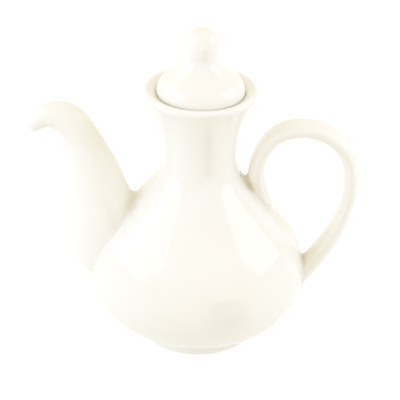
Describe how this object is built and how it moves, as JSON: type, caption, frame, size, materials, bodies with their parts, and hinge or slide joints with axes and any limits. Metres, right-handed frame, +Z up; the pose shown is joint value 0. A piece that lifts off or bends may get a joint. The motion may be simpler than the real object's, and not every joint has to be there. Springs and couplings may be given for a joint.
{
  "type": "teapot",
  "caption": "Ivory porcelain teapot: pear-shaped body with a flared neck, S-curved spout, looped strap handle and a domed lid with a round knob that lifts off.",
  "frame": {"origin": "centre of the foot ring, in the plane of the table", "axes": "+Z up along the pot's axis, the spout towards -X and the handle towards +X, both in the plane Y = 0"},
  "size_m": [0.1531, 0.0978, 0.154],
  "materials": {
    "body_glaze": "ivory gloss glaze over porcelain",
    "spout_glaze": "ivory gloss glaze over porcelain",
    "handle_glaze": "ivory gloss glaze over porcelain",
    "lid_glaze": "ivory gloss glaze over porcelain",
    "knob_glaze": "ivory gloss glaze over porcelain"
  },
  "bodies": {
    "pot": {"body": "body_glaze", "spout": "spout_glaze", "handle": "handle_glaze"},
    "lid": {"lid": "lid_glaze", "lid_knob": "knob_glaze"}
  },
  "joints": [
    {"name": "lid_lift", "type": "slide", "parent": "pot", "child": "lid", "axis": [0, 0, 1], "range_m": [0, 0.06]}
  ]
}
